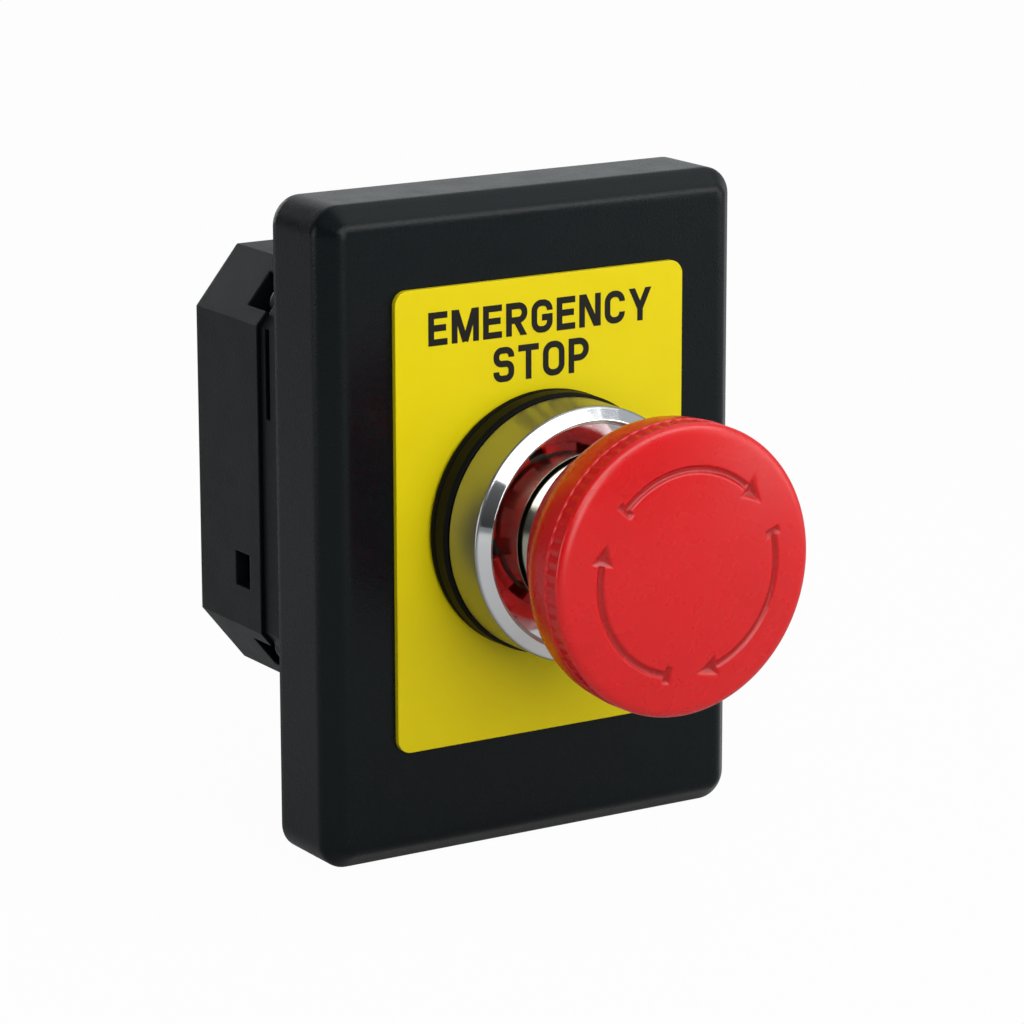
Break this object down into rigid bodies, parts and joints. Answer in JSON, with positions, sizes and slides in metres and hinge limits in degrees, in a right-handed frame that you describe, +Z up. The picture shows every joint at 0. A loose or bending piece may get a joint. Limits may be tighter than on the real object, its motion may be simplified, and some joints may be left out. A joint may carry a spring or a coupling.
{
  "type": "emergency stop pushbutton station",
  "caption": "Panel-mounted emergency stop pushbutton with a twist-release mushroom head, a chrome bezel, a yellow legend plate, a black front cover and a chamfered rear housing.",
  "frame": {"origin": "on the push axis, at the plane where the front cover seats on the panel, which is also the centre of the four fixing inserts", "axes": "+Z up, front of the button towards -Y, +Y into the panel along the push axis, +X to the operator's right"},
  "size_m": [0.067, 0.0893, 0.0925],
  "materials": {
    "cover_black": "black moulded plastic with a fine texture",
    "housing_black": "black moulded plastic, slightly rougher than the cover",
    "seal_rubber": "black rubber",
    "trim_black": "black plastic",
    "insert_brass": "turned brass",
    "legend_yellow": "yellow laminated plastic with black function words",
    "bezel_chrome": "polished chrome plate",
    "neck_metal": "polished metal",
    "barrel_metal": "turned and threaded metal",
    "nut_metal": "zinc plated",
    "spring_steel": "bright spring wire",
    "screw_steel": "zinc plated",
    "screw_black": "blackened steel",
    "carrier_plastic": "dark grey plastic",
    "block_red": "dark red moulded plastic",
    "contact_brass": "brass with silver buttons",
    "plunger_plastic": "natural plastic",
    "head_red": "red moulded plastic, satin to gloss",
    "hub_plastic": "grey plastic"
  },
  "bodies": {
    "station": {"front_cover": "cover_black", "panel_seal": "seal_rubber", "fixing_inserts": "insert_brass", "legend_plate": "legend_yellow", "sealing_washer": "seal_rubber", "trim_ring": "trim_black", "bezel_ring": "bezel_chrome", "barrel": "barrel_metal", "lock_washer": "nut_metal", "mounting_nut": "nut_metal", "neck_wiper": "seal_rubber", "latch_ring": "spring_steel", "return_spring": "spring_steel", "contact_carrier": "carrier_plastic", "base_frame": "housing_black", "frame_screws": "screw_black", "rear_housing": "housing_black", "contact_block_left": "block_red", "contact_block_right": "block_red", "fixed_contacts_left": "contact_brass", "fixed_contacts_right": "contact_brass", "terminal_clamps": "screw_steel", "terminal_screws": "screw_steel", "contact_spring_left": "spring_steel", "contact_spring_right": "spring_steel"},
    "pusher": {"plunger": "plunger_plastic", "actuator_bar": "nut_metal", "plunger_screw": "screw_steel"},
    "knob": {"mushroom_head": "head_red", "head_hub": "hub_plastic", "head_screw": "screw_steel", "neck": "neck_metal", "release_spring": "spring_steel"},
    "contact_left": {"contact_slider_left": "plunger_plastic", "contact_bridge_left": "contact_brass"},
    "contact_right": {"contact_slider_right": "plunger_plastic", "contact_bridge_right": "contact_brass"}
  },
  "joints": [
    {"name": "push", "type": "slide", "parent": "station", "child": "pusher", "axis": [0, 1, 0], "range_m": [0, 0.0055], "stiffness_N_per_m": 1600, "springref_m": -0.004, "deforming": ["return_spring", "latch_ring", "contact_spring_left", "contact_spring_right"]},
    {"name": "twist", "type": "hinge", "parent": "pusher", "child": "knob", "pos_m": [0, 0, 0], "axis": [0, 1, 0], "range_deg": [0, 30], "stiffness_Nm_per_rad": 0.02, "deforming": ["release_spring"]},
    {"name": "left_contact", "type": "slide", "parent": "station", "child": "contact_left", "axis": [0, 1, 0], "range_m": [0, 0.0055]},
    {"name": "right_contact", "type": "slide", "parent": "station", "child": "contact_right", "axis": [0, 1, 0], "range_m": [0, 0.0055]}
  ],
  "couplings": [
    {"joint": "left_contact", "follows": "push", "ratio": 1},
    {"joint": "right_contact", "follows": "push", "ratio": 1}
  ]
}
